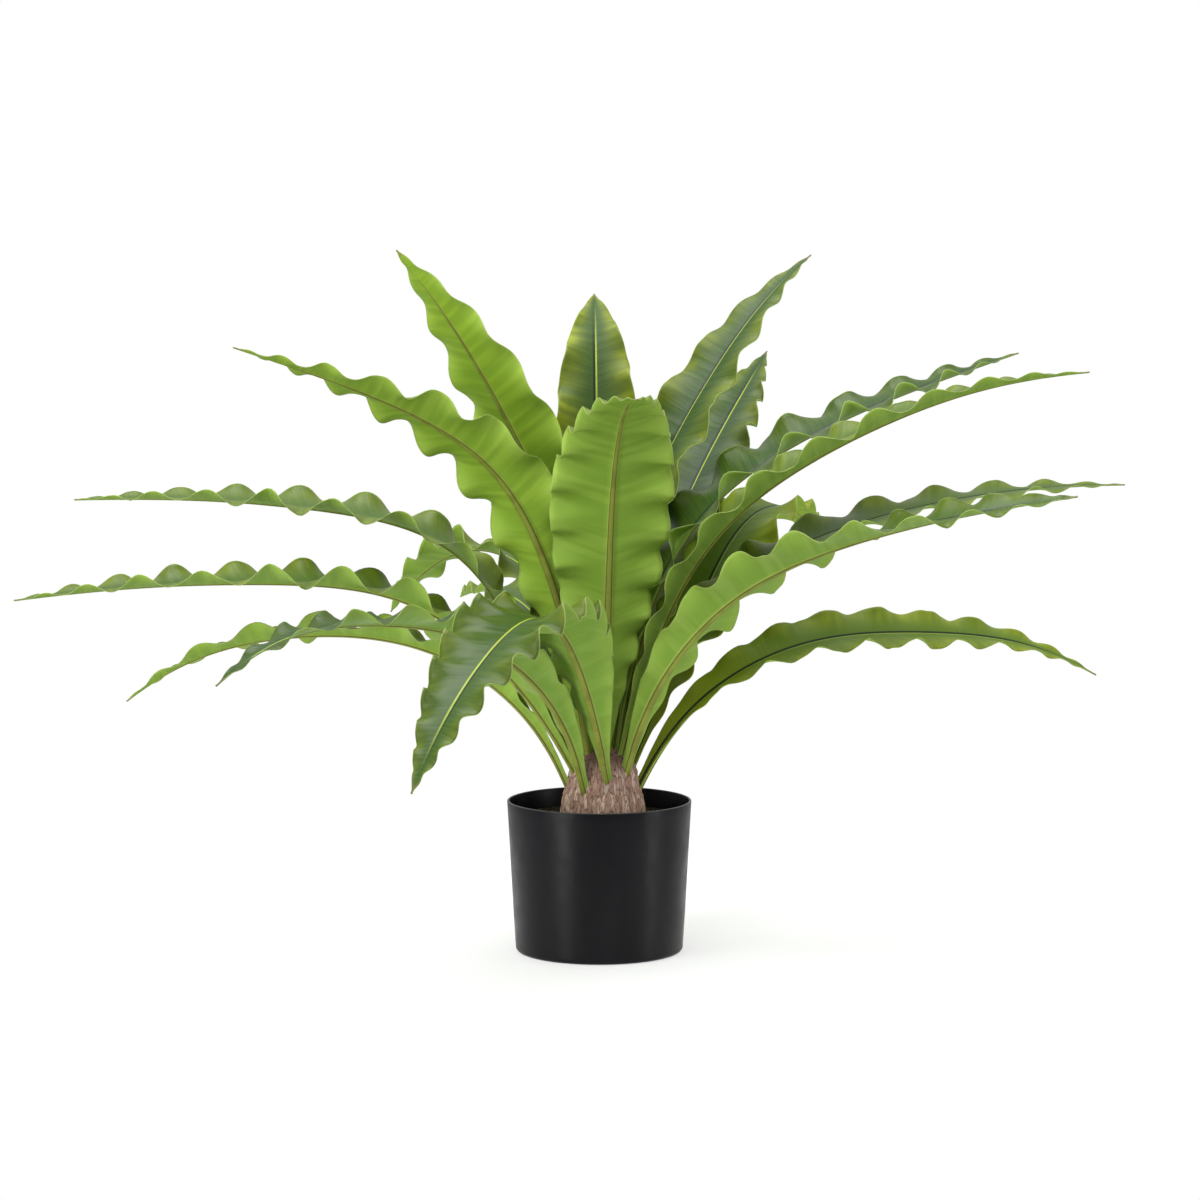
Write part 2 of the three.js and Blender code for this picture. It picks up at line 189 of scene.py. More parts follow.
wall_tilt = (POT_RIM_RADIUS - POT_BASE_RADIUS) / POT_HEIGHT
inside = POT_RIM_RADIUS - POT_WALL
outline = [(0, FOOT_RING_HEIGHT), (FOOT_RING_RADIUS - FOOT_RING_WIDTH, FOOT_RING_HEIGHT)]
outline += [(FOOT_RING_RADIUS - FOOT_RING_ROUND, FOOT_RING_HEIGHT - FOOT_RING_ROUND)]
outline += [(FOOT_RING_RADIUS, 0)]
outline += arc((POT_BASE_RADIUS - POT_EDGE_RADIUS, POT_EDGE_RADIUS), POT_EDGE_RADIUS, -90, 0, 8)
outline += [(POT_BASE_RADIUS + wall_tilt * z, z) for z in POT_WALL_ROWS]
outline += arc((POT_RIM_RADIUS - POT_LIP, POT_HEIGHT - POT_LIP), POT_LIP, 0, 90, 6)
outline += arc((inside + POT_INNER_LIP, POT_HEIGHT - POT_INNER_LIP), POT_INNER_LIP, 90, 180, 5)
outline += [(inside - 2 * POT_INNER_LIP, POT_INNER_ROW)]
outline += [(POT_BASE_RADIUS - POT_WALL, POT_FLOOR), (0, POT_FLOOR)]
pot = piece("pot_shell", *turned(outline, POT_SIDES), pot_black)
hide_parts("pot")
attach(pot, "root")

# Potting mix
# Dark crumbly peat and bark fines, filled to a little below the lip and hollowed where the stump stands.
# Its top is covered in fine lumps, and loose chips of bark lie on it.
MIX_TOP = 0.112
MIX_WALL_RADIUS = 0.0742
MIX_HOLLOW_RADIUS = 0.031
MIX_FLOOR_RADIUS = 0.0682
MIX_FLOOR = 0.0034
MIX_SEAT = 0.108
MIX_WAVES = (45, 190, 520)
MIX_LAYERS = (3, 7, 11)
MIX_SWELL = 0.0009
MIX_CRUMB = 0.0007
MIX_GRAIN = 0.0007
MIX_RINGS = 64
MIX_SECTORS = 260
CHIP_COUNT = 320
CHIP_SEED = 5
CHIP_CORNERS = 6
CHIP_RING = (0.041, 0.070)
CHIP_SIZES = ((0.0028, 0.0085), (0.0018, 0.004), (0.0008, 0.002))
CHIP_CORNER_SWAY = 0.3
CHIP_CORNER_REACH = (0.75, 1.0)
CHIP_TAPER = 0.8
CHIP_SUNK = 0.15
PEAT = (0.016, 0.0105, 0.0075, 1)
BARK_FINES = (0.062, 0.038, 0.024, 1)
STUMP_X = 0.003

mix_dark, tree, shader = finish("damp potting mix", Specular_IOR_Level=0.25)
crumbs = mixed(tree, mottled(tree, 190, 6, 0.42, 0.68), PEAT, BARK_FINES)
tree.links.new(crumbs, shader.inputs["Base Color"])
tree.links.new(ranged(tree, mottled(tree, 90, 3), 0, 1, 0.8, 1.0), shader.inputs["Roughness"])
bumped(tree, shader, mottled(tree, 650, 6, 0.2, 0.8), 0.8, 0.0008)


def lump(x, y):
    """How far the top of the mix stands above its level."""
    places = [Vector((x * waves, y * waves, layer)) for waves, layer in zip(MIX_WAVES, MIX_LAYERS)]
    swell, crumb, grain = (noise.noise(place) for place in places)
    return MIX_SWELL * swell + MIX_CRUMB * crumb + MIX_GRAIN * abs(grain)


points = []
for k in range(MIX_SECTORS):
    turn = k * 2 * math.pi / MIX_SECTORS
    for j in range(MIX_RINGS + 1):
        share = j / MIX_RINGS
        radius = MIX_HOLLOW_RADIUS * (1 - share) + MIX_WALL_RADIUS * share
        x = STUMP_X * (1 - share) + math.cos(turn) * radius
        y = math.sin(turn) * radius
        points.append((x, y, MIX_TOP + lump(x, y)))
    points.append((math.cos(turn) * MIX_FLOOR_RADIUS, math.sin(turn) * MIX_FLOOR_RADIUS, MIX_FLOOR))
points += [(0, 0, MIX_FLOOR), (STUMP_X, 0, MIX_SEAT)]
row = MIX_RINGS + 2
faces = []
for k in range(MIX_SECTORS):
    here = k * row
    there = (k + 1) % MIX_SECTORS * row
    faces += [(here + j, here + j + 1, there + j + 1, there + j) for j in range(row - 1)]
    faces.append((here + row - 1, len(points) - 2, there + row - 1))
    faces.append((here, there, len(points) - 1))
mix = piece("potting_mix_body", points, faces, mix_dark)
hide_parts("potting_mix")
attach(mix, "root")

draws = np.random.default_rng(CHIP_SEED)
points = []
faces = []
for k in range(CHIP_COUNT):
    turn = draws.uniform(0, 2 * math.pi)
    radius = draws.uniform(*CHIP_RING)
    length, width, height = (draws.uniform(least, most) for least, most in CHIP_SIZES)
    spin = draws.uniform(0, math.pi)
    x = radius * math.cos(turn)
    y = radius * math.sin(turn)
    first = len(points)
    for level in (0, 1):
        for corner in range(CHIP_CORNERS):
            sway = draws.uniform(-CHIP_CORNER_SWAY, CHIP_CORNER_SWAY)
            angle = corner * 2 * math.pi / CHIP_CORNERS + sway
            reach = draws.uniform(*CHIP_CORNER_REACH) * (CHIP_TAPER if level else 1)
            along = length / 2 * reach * math.cos(angle)
            across = width / 2 * reach * math.sin(angle)
            points.append((x + along * math.cos(spin) - across * math.sin(spin),
                           y + along * math.sin(spin) + across * math.cos(spin),
                           MIX_TOP + lump(x, y) + height * (level - CHIP_SUNK)))
    lower = [first + j for j in range(CHIP_CORNERS)]
    upper = [j + CHIP_CORNERS for j in lower]
    faces += [lower[::-1], upper]
    faces += [(lower[j - 1], lower[j], upper[j], upper[j - 1]) for j in range(CHIP_CORNERS)]
chips = piece("mix_chips", points, faces, mix_dark, smooth=False)
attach(chips, "root")

# Stump
# The fern's short trunk: old frond bases grown together, covered in flaky pink-brown bark with tan and
# grey streaks and dark cracks. It stands in the mix, and each frond's foot stands in its upper part.
STUMP_OUTLINE = ((0.0363, 0.106), (0.0361, 0.114), (0.0357, 0.121), (0.0342, 0.129), (0.0312, 0.140),
                 (0.0286, 0.152), (0.0250, 0.161), (0.0188, 0.168), (0.0095, 0.1712), (0.0, 0.172))
STUMP_MEAN_RADIUS = 0.033
STUMP_CREST_RADIUS = 0.02
STUMP_CREST_SHARE = 0.985
STUMP_SECTORS = 340
STUMP_ROWS = 130
FLAKE_WIDTH = 0.0036
FLAKE_HEIGHT = 0.0150
FLAKE_DEPTH = 0.0011
FLAKE_COLUMNS = round(2 * math.pi * STUMP_MEAN_RADIUS / FLAKE_WIDTH)
FLAKE_SCATTER = 0.7
FLAKE_EDGE = 0.22
FLAKE_LEVEL = 0.55
FLAKE_SWAY = (0.5, 0.3)
FLAKE_SEED = 3
GRAIN_WAVES = (42, 210)
SWAY_WAVES = (3, 90)
GRAIN_DEPTH = 0.0004
SWAY_DEPTH = 0.0005
CRACK_CURVE = 2.4
CRACK_DARKNESS = 0.85
CRACK_SINK = 0.5
CROWN_START = 0.150
CROWN_HEIGHT = 0.014
BARK_TAN = (0.78, 0.58, 0.47, 1)
BARK_PINK = (0.44, 0.26, 0.20, 1)
BARK_GREY = (0.56, 0.47, 0.42, 1)
BARK_CRACK = (0.055, 0.030, 0.022, 1)
BARK_CROWN = (0.16, 0.085, 0.065, 1)


def calc(tree, operation, first, second, clamp=False):
    """A sum, maximum or other calculation of two values."""
    made = add(tree, "ShaderNodeMath", {0: first, 1: second}, operation=operation, use_clamp=clamp)
    return made.outputs[0]


def times(tree, first, second):
    """The product of two values."""
    return calc(tree, "MULTIPLY", first, second)


def attribute(tree, name):
    """A value that the mesh carries on its points."""
    return add(tree, "ShaderNodeAttribute", attribute_name=name).outputs["Fac"]


def carry(made, name, values):
    """Puts one value on each point of a piece, for its finish to read."""
    layer = made.data.attributes.new(name, "FLOAT", "POINT")
    layer.data.foreach_set("value", np.asarray(values, np.float32).ravel())


bark, tree, shader = finish("flaky bark", Roughness=0.9, Specular_IOR_Level=0.3)
flake_tone = attribute(tree, "flake_tone")
crack = attribute(tree, "crack")
crown = attribute(tree, "crown")
fibre = mottled(tree, 150, 6, 0.38, 0.62, (3.2, 3.2, 0.5))
tan = times(tree, ranged(tree, flake_tone, 0.35, 0.8), fibre)
colour = mixed(tree, tan, BARK_PINK, BARK_TAN)
grey = times(tree, ranged(tree, flake_tone, 0.0, 0.22, 1, 0), mottled(tree, 60, 3, 0.45, 0.6))
colour = mixed(tree, grey, colour, BARK_GREY)
colour = mixed(tree, times(tree, crown, 0.75), colour, BARK_CROWN)
speck = mottled(tree, 420, 4, 0.56, 0.66, (1.6, 1.6, 0.5))
dark = calc(tree, "MAXIMUM", crack, times(tree, speck, 0.7), clamp=True)
tree.links.new(mixed(tree, dark, colour, BARK_CRACK), shader.inputs["Base Color"])
bumped(tree, shader, mottled(tree, 320, 6, 0.2, 0.8, (2.6, 2.6, 0.5)), 0.7, 0.0006)


def scattered(value):
    """A repeatable draw between 0 and 1 for each value."""
    value = np.sin(value) * 43758.5453
    return value - np.floor(value)


def cells(across, up):
    """The flakes: each point's distances to the two nearest flakes' centres, and a draw for its flake."""
    column = np.floor(across)
    level = np.floor(up)
    nearest = np.full(across.shape, 9.0)
    second = np.full(across.shape, 9.0)
    tone = np.zeros(across.shape)
    margin = (1 - FLAKE_SCATTER) / 2
    for i in (-1, 0, 1):
        for j in (-1, 0, 1):
            beside = column + i
            above = level + j
            first = scattered((beside % FLAKE_COLUMNS) * 127.1 + above * 311.7 + FLAKE_SEED)
            other = first * 97.31 - np.floor(first * 97.31)
            aside = across - beside - margin - FLAKE_SCATTER * first
            gap = np.hypot(aside, up - above - margin - FLAKE_SCATTER * other)
            closer = gap < nearest
            second = np.where(closer, nearest, np.minimum(second, gap))
            tone = np.where(closer, (first * 57.7) % 1, tone)
            nearest = np.where(closer, gap, nearest)
    return nearest, second, tone


def grained(turn, up, around, along):
    """Smooth noise over the stump, by how many waves it has around and along."""
    place = Vector((math.cos(turn) * around, math.sin(turn) * around, up * along))
    return noise.noise(place)


turns = np.arange(STUMP_SECTORS) * 2 * math.pi / STUMP_SECTORS
lengths = np.cumsum([0] + [math.dist(a, b) for a, b in zip(STUMP_OUTLINE, STUMP_OUTLINE[1:])])
reach = np.linspace(0, lengths[-1] * STUMP_CREST_SHARE, STUMP_ROWS)
radii = np.interp(reach, lengths, [r for r, _ in STUMP_OUTLINE])
heights = np.interp(reach, lengths, [z for _, z in STUMP_OUTLINE])
turn, up = np.meshgrid(turns, reach)
sway = np.vectorize(grained)(turn, up, *SWAY_WAVES)
grain = np.vectorize(grained)(turn, up, *GRAIN_WAVES)
column = turn / (2 * math.pi) * FLAKE_COLUMNS + sway * FLAKE_SWAY[0]
nearest, second, tone = cells(column, up / FLAKE_HEIGHT + sway * FLAKE_SWAY[1])
edge = np.clip((second - nearest) / FLAKE_EDGE, 0, 1)
flakes = (tone - FLAKE_LEVEL) * edge - CRACK_SINK * (1 - edge)
proud = FLAKE_DEPTH * flakes + GRAIN_DEPTH * grain + SWAY_DEPTH * sway
radius = radii[:, None] + proud * np.clip(radii[:, None] / STUMP_CREST_RADIUS, 0, 1)
lumps = np.where(radii[:, None] < 0.9 * STUMP_CREST_RADIUS, proud * 0.8, 0)
points = np.stack([STUMP_X + radius * np.cos(turn), radius * np.sin(turn), heights[:, None] + lumps], -1)

faces = []
for j in range(STUMP_ROWS - 1):
    for k in range(STUMP_SECTORS):
        near = j * STUMP_SECTORS + k
        far = j * STUMP_SECTORS + (k + 1) % STUMP_SECTORS
        faces.append((near, far, far + STUMP_SECTORS, near + STUMP_SECTORS))
faces.append(list(reversed(range(STUMP_SECTORS))))
faces.append(list(range((STUMP_ROWS - 1) * STUMP_SECTORS, STUMP_ROWS * STUMP_SECTORS)))
stump = piece("stump_bark", points.reshape(-1, 3), faces, bark)
carry(stump, "flake_tone", tone)
carry(stump, "crack", (1 - edge) ** CRACK_CURVE * CRACK_DARKNESS)
carry(stump, "crown", np.clip((heights[:, None] - CROWN_START) / CROWN_HEIGHT, 0, 1) + 0 * turn)
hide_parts("stump")
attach(stump, "root")

# Fronds
# Each frond is one long undivided blade on a rib that is raised beneath and grooved above. The blade
# follows the rib, leans up from it on both sides and curls in waves at its margins. Its foot stands in
# the stump.

# The foot's place (angle, radius from the stump's axis, height), then heading, rise, roll and lift along
# the rib in degrees, then sizes in millimetres, waves, and the upper face's colour (fresh, mottled).
FRONDS = {
    "frond_01": dict(root=(172, 12, 171), heading=(211, 206, 201), rise=(88, 79, 65, 58, 50),
                     roll=(50, 36, 24), lift=(30, 12, 8), length=462, width=80, fade_curve=2.6,
                     waves=10, ruffle=22, fresh=0.9, mottle=0.5),
    "frond_02": dict(root=(218, 16, 167), heading=(213, 213, 208), rise=(82, 74, 60, 31, 20, 18),
                     roll=(62, 32, 4), lift=(30, 12, 10), length=521, width=76,
                     waves=12, ruffle=34, fresh=0.7, mottle=0.5),
    "frond_03": dict(root=(277, 15, 167), heading=(275, 276, 278), rise=(80, 77, 67, 35, 2),
                     roll=(0, 0, 0), lift=(25, 8, 8), length=411, width=102, widest=0.55,
                     waves=14, ruffle=22, fresh=0.4, mottle=0.4),
    "frond_04": dict(root=(118, 9, 173), heading=(92, 92, 91), rise=(88, 84, 78, 64, 30),
                     roll=(0, 0, 0), lift=(30, 12, 8), length=412, width=72, widest=0.55, fade_curve=2.6,
                     waves=9, ruffle=20, fresh=0.15, mottle=0.9),
    "frond_05": dict(root=(78, 13, 171), heading=(49, 46, 45), rise=(84, 76, 54, 44, 30),
                     roll=(-6, 0, 0), lift=(30, 15, 10), length=508, width=76,
                     waves=11, ruffle=20, fresh=0.08, mottle=0.5),
    "frond_06": dict(root=(30, 18, 167), heading=(64, 67, 71), rise=(72, 56, 38, 28, 24),
                     roll=(0, 0, 0), lift=(30, 12, 8), length=500, width=78,
                     waves=13, ruffle=30, fresh=0.03, mottle=0.45),
    "frond_07": dict(root=(352, 12, 171), heading=(13, 19, 33), rise=(82, 66, 32, 18, 14),
                     roll=(0, 0, 0), lift=(30, 16, 14), length=550, width=84,
                     waves=12, ruffle=34, fresh=0.1, mottle=0.2),
    "frond_08": dict(root=(328, 19, 167), heading=(333, 343, 348), rise=(75, 63, 35, 21, 6),
                     roll=(14, 8, -8), lift=(30, 20, 16), length=550, width=68,
                     waves=13, ruffle=28, fresh=0.4, mottle=0.4),
    # frond_09's high fresh and mottle values partly paint the glow of light shining through its lower
    # blade.
    "frond_09": dict(root=(22, 26, 153), heading=(50, 60, 60), rise=(54, 52, 40, 2, -45),
                     roll=(0, 0, 0), lift=(30, 12, 8), length=430, width=94,
                     waves=11, ruffle=28, fresh=0.9, mottle=1.0),
    "frond_10": dict(root=(348, 23, 162), heading=(8, 10, 12), rise=(78, 47, 20, 8, 0),
                     roll=(10, 8, 6), lift=(30, 7, 5), length=530, width=82,
                     waves=12, ruffle=24, fresh=0.4, mottle=0.5),
    "frond_11": dict(root=(318, 28, 157), heading=(325, 330, 340), rise=(72, 48, 24, 14, 10),
                     roll=(-28, -12, 30), lift=(26, 17, 17), length=495, width=78,
                     waves=12, ruffle=32, fresh=0.3, mottle=0.3),
    "frond_12": dict(root=(0, 32, 141), heading=(26, 28, 20), rise=(60, 27, 2, -8, -28),
                     roll=(10, 26, 26), lift=(30, 14, 10), length=500, width=59,
                     waves=13, ruffle=22, fresh=0.8, mottle=0.8),
    "frond_13": dict(root=(172, 25, 157), heading=(180, 184, 184), rise=(62, 65, 16, 4, -1),
                     roll=(-6, -4, 0), lift=(30, 13, 16), length=530, width=78,
                     waves=12, ruffle=31, fresh=0.4, mottle=0.4),
    "frond_14": dict(root=(131, 23, 159), heading=(125, 135, 142), rise=(79, 69, 29, -20, -50),
                     roll=(0, 8, 8), lift=(30, 14, 10), length=364, width=92,
                     waves=11, ruffle=30, fresh=0.4, mottle=0.4),
    "frond_15": dict(root=(206, 27, 154), heading=(196, 198, 194), rise=(61, 42, 8, -1, -6),
                     roll=(0, 0, 0), lift=(30, 15, 16), length=535, width=80,
                     waves=12, ruffle=32, fresh=0.3, mottle=0.4),
    "frond_16": dict(root=(182, 31, 143), heading=(184, 191, 197), rise=(66, 37, 8, -11, -36),
                     roll=(0, 12, 24), lift=(30, 16, 12), length=431, width=70,
                     waves=10, ruffle=30, fresh=0.5, mottle=0.5),
    "frond_17": dict(root=(238, 32, 143), heading=(227, 228, 219), rise=(72, 38, 13, -2, -34),
                     roll=(0, 8, 4), lift=(30, 14, 10), length=470, width=78,
                     waves=11, ruffle=30, fresh=0.05, mottle=0.15),
    "frond_18": dict(root=(274, 29, 152), heading=(245, 251, 237), rise=(68, 46, 0, -29, -53),
                     roll=(0, 0, 0), lift=(25, 12, 10), length=480, width=96,
                     waves=15, ruffle=28, fresh=0.15, mottle=0.3),
    "frond_19": dict(root=(82, 27, 150), heading=(80, 82, 84), rise=(56, 40, 16, -8, -30),
                     roll=(0, 0, 0), lift=(30, 16, 12), length=460, width=74,
                     waves=9, ruffle=32, fresh=0.3, mottle=0.4),
    "frond_20": dict(root=(113, 27, 150), heading=(112, 114, 114), rise=(60, 46, 20, 0, -15),
                     roll=(0, 0, 0), lift=(30, 16, 12), length=350, width=70,
                     waves=9, ruffle=34, fresh=0.3, mottle=0.4),
}
MILLIMETRE = 0.001

# The blade's outline, in shares of its length and in millimetres.
FOOT_DEPTH = 13
FOOT_HALF_WIDTH = 5.5
FOOT_SHARE = 0.02
WIDEST_SHARE = 0.5
GROW_CURVE = 1.25
FADE_CURVE = 1.9
TIP_HALF_WIDTH = 0.9

# The waves and crimps of the margins.
WAVE_START = 0.01
WAVE_FULL = 0.26
WAVE_LEAST = 0.75
WAVE_VARIES = 0.7
WAVE_AT_FOOT = 0.55
WAVE_AT_TIP = 0.3
WAVE_PHASE = 0.125
MARGIN_SHIFT = 0.25
MARGIN_SEED = 40
CURL_CURVE = 1.5
CRIMPS = 2.6
CRIMP_LEAN = 7
CRIMP_FADE = (0.92, 0.55)

# The rib, its groove and the blade's thickness, in millimetres. RIB_MOST is a share of the blade's half
# width, and GROOVE_WIDTH is a share of the rib's.
RIB_HALF_WIDTH = (3.6, 2.6, 0.8)
RIB_DEPTH = (2.4, 1.6, 0.4)
RIB_MOST = 0.5
GROOVE_DEPTH = 0.3
GROOVE_WIDTH = 0.45
BLADE_HALF_THICKNESS = 0.42
MARGIN_HALF_THICKNESS = 0.22

# How finely the mesh is cut.
STATIONS_PER_WAVE = 16
RIB_COLUMNS = (0, 0.3, 0.6, 0.85, 1)
BLADE_COLUMNS = 10
MARGIN_STEPS = 6

# The colours of the upper face, the lower face and the rib.
UPPER_DEEP = (0.018, 0.052, 0.010, 1)
UPPER_FRESH = (0.120, 0.205, 0.014, 1)
UPPER_YELLOW = (0.31, 0.36, 0.020, 1)
UNDER_DULL = (0.240, 0.405, 0.070, 1)
UNDER_BRIGHT = (0.390, 0.600, 0.045, 1)
UNDER_FOLD_SHADE = (0.150, 0.310, 0.020, 1)
UNDER_PALE = (0.42, 0.60, 0.10, 1)
MARGIN_LINE = (0.42, 0.54, 0.16, 1)
RIB_OLIVE = (0.300, 0.350, 0.055, 1)
RIB_BROWN = (0.105, 0.085, 0.016, 1)
RIB_EDGE_HIGHLIGHT = (0.45, 0.52, 0.11, 1)
GROOVE_SHADE = (0.014, 0.028, 0.012, 1)
GROOVE_YELLOW = (0.36, 0.46, 0.05, 1)
TIP_BROWN = (0.26, 0.18, 0.08, 1)

frond_skin, tree, shader = finish("fern frond", Specular_IOR_Level=0.21)
along = attribute(tree, "along")
across = attribute(tree, "across")
out = attribute(tree, "out")
ribs = attribute(tree, "ribs")
under = attribute(tree, "under")
share = attribute(tree, "share")
fresh = attribute(tree, "fresh")
mottle = attribute(tree, "mottle")
away = calc(tree, "ABSOLUTE", across, 0.0)
vein_line = calc(tree, "SUBTRACT", along, times(tree, away, 0.3))
inputs = {0: vein_line, 1: times(tree, across, 0.06), 2: under}
vein_place = add(tree, "ShaderNodeCombineXYZ", inputs).outputs[0]
inputs = {"Vector": vein_place, "Scale": 0.45, "Detail": 4.0}
streak = add(tree, "ShaderNodeTexNoise", inputs).outputs[0]
inputs = {"Vector": vein_place, "Scale": 0.1, "Detail": 2.0}
crease = add(tree, "ShaderNodeTexNoise", inputs).outputs[0]
cloud = mottled(tree, 26, 4, 0.36, 0.64)

upper = mixed(tree, fresh, UPPER_DEEP, UPPER_FRESH)
upper = mixed(tree, times(tree, ranged(tree, streak, 0.4, 0.7), 0.2), upper, UPPER_FRESH)
# Yellow-green towards the margins and the foot of the upper face: partly the leaf's own yellowing, partly
# painted glow of light shining through the blade.
yellowing_and_glow = times(tree, ranged(tree, out, 0.1, 1.0), ranged(tree, crease, 0.25, 0.7, 0.4, 1.0))
yellowing_and_glow = times(tree, yellowing_and_glow, ranged(tree, cloud, 0, 1, 0.55, 1.0))
yellowing_and_glow = calc(tree, "MAXIMUM", yellowing_and_glow, ranged(tree, share, 0.12, 0.45, 1, 0))
upper = mixed(tree, times(tree, yellowing_and_glow, mottle), upper, UPPER_YELLOW)
# Painted shade: a dark line along one side of the rib's groove on the upper face; the yellow line beside
# it is the rib's own colour.
groove_shade = times(tree, ranged(tree, across, -2.8, -1.9), ranged(tree, across, -0.5, -0.1, 1, 0))
groove_light = times(tree, ranged(tree, across, -0.4, 0.1), ranged(tree, across, 1.0, 1.6, 1, 0))
fading = ranged(tree, share, 0.8, 0.97, 1, 0)
upper = mixed(tree, times(tree, groove_shade, fading), upper, GROOVE_SHADE)
upper = mixed(tree, times(tree, groove_light, fading), upper, GROOVE_YELLOW)

lower = mixed(tree, fresh, UNDER_DULL, UNDER_BRIGHT)
# Painted shade: the lower face darkens in the soft folds of the crease pattern, where shade would fall.
lower = mixed(tree, times(tree, ranged(tree, crease, 0.42, 0.62, 1, 0), 0.35), lower, UNDER_FOLD_SHADE)
lower = mixed(tree, times(tree, ranged(tree, streak, 0.5, 0.8), 0.05), lower, UNDER_PALE)
lower = mixed(tree, ranged(tree, out, 0.4, 1.0, 0, 0.40), lower, UNDER_PALE)
# Painted highlight: a pale line along both edges of the raised rib on the lower face.
rib_edge_highlight = times(tree, ranged(tree, ribs, 0.75, 0.9), ranged(tree, ribs, 1.1, 1.4, 1, 0))
lower = mixed(tree, times(tree, rib_edge_highlight, 0.55), lower, RIB_EDGE_HIGHLIGHT)
rib_mask = times(tree, ranged(tree, ribs, 0.72, 0.88, 1, 0), ranged(tree, share, 0.86, 0.97, 1, 0))
rib_colour = mixed(tree, ranged(tree, ribs, 0.42, 0.72), RIB_OLIVE, RIB_BROWN)
rib_colour = mixed(tree, times(tree, mottled(tree, 55, 3, 0.45, 0.6), 0.3), rib_colour, RIB_BROWN)
lower = mixed(tree, rib_mask, lower, rib_colour)

skin = mixed(tree, under, upper, lower)
skin = mixed(tree, times(tree, ranged(tree, out, 0.975, 0.995), 0.6), skin, MARGIN_LINE)
skin = mixed(tree, ranged(tree, share, 0.975, 1.0, 0, 0.5), skin, TIP_BROWN)
tree.links.new(skin, shader.inputs["Base Color"])
dull = calc(tree, "ADD", ranged(tree, under, 0, 1, 0.26, 0.46), times(tree, cloud, 0.1))
dull = calc(tree, "ADD", dull, times(tree, mottle, 0.22))
tree.links.new(dull, shader.inputs["Roughness"])
relief = calc(tree, "ADD", times(tree, streak, 0.14), times(tree, crease, 1.5))
bumped(tree, shader, relief, 0.5, 0.0012)


def along_values(values, share):
    """A smooth value through evenly spaced ones, at shares of the whole length."""
    values = np.asarray(values, float)
    last = len(values) - 1
    index = np.minimum(np.floor(share * last).astype(int), last - 1)
    u = share * last - index
    start, end = values[index], values[index + 1]
    start_slope = (end - values[np.maximum(index - 1, 0)]) / 2
    end_slope = (values[np.minimum(index + 2, last)] - start) / 2
    bend = 3 * (end - start) - 2 * start_slope - end_slope
    twist = 2 * (start - end) + start_slope + end_slope
    return start + u * (start_slope + u * (bend + u * twist))


def easing(low, high, value):
    """A smooth step from 0 at the first value to 1 at the second."""
    t = np.clip((value - low) / (high - low), 0, 1)
    return t * t * (3 - 2 * t)


def directions(frond, share):
    """The rib's direction, and the blade's side and upper-face directions."""
    heading = np.radians(along_values(frond["heading"], share))
    rise = np.radians(along_values(frond["rise"], share))
    roll = np.radians(along_values(frond["roll"], share))[:, None]
    ahead = np.stack([np.cos(rise) * np.cos(heading), np.cos(rise) * np.sin(heading), np.sin(rise)], -1)
    level = np.stack([np.sin(heading), -np.cos(heading), 0 * heading], -1)
    side = level * np.cos(roll) + np.cross(ahead, level) * np.sin(roll)
    return ahead, side, np.cross(side, ahead)


def pace(part):
    """Waves are longest where the blade is wide, and draw closer towards the foot and the tip."""
    bend = 3 - 2 * WAVE_AT_FOOT - WAVE_AT_TIP
    twist = WAVE_AT_FOOT + WAVE_AT_TIP - 2
    return part * (WAVE_AT_FOOT + part * (bend + part * twist))


def half_width(frond, share):
    """Half the blade's width in millimetres."""
    widest = frond.get("widest", WIDEST_SHARE)
    grow = np.sin(np.clip((share - FOOT_SHARE) / (widest - FOOT_SHARE), 0, 1) * math.pi / 2)
    foot = 2 * FOOT_HALF_WIDTH / frond["width"]
    fade = np.clip((share - widest) / (1 - widest), 0, 1) ** frond.get("fade_curve", FADE_CURVE)
    shape = np.where(share < widest, foot + (1 - foot) * grow ** GROW_CURVE, 1 - fade)
    return np.maximum(frond["width"] / 2 * shape, TIP_HALF_WIDTH)


def ruffle(frond, number, side, turns, share):
    """How far a margin leans out of the blade's plane, in degrees; the two margins are out of step."""
    turns = turns + WAVE_PHASE + (0 if side > 0 else MARGIN_SHIFT * (1 + number % 3))
    crest = turns * 2 - 0.5
    index = np.floor(crest)
    seed = (number + MARGIN_SEED * side) * 78.233
    before = scattered(seed + index * 12.9898) * (1 - crest + index)
    strength = before + scattered(seed + (index + 1) * 12.9898) * (crest - index)
    reach = easing(WAVE_START, WAVE_FULL, share)
    wave = frond["ruffle"] * (WAVE_LEAST + WAVE_VARIES * strength) * np.sin(turns * 2 * math.pi)
    crimp = CRIMP_LEAN * (2 * strength - 1) * np.sin(turns * 2 * math.pi * CRIMPS + number + side)
    return reach * (wave + crimp * easing(*CRIMP_FADE, share))


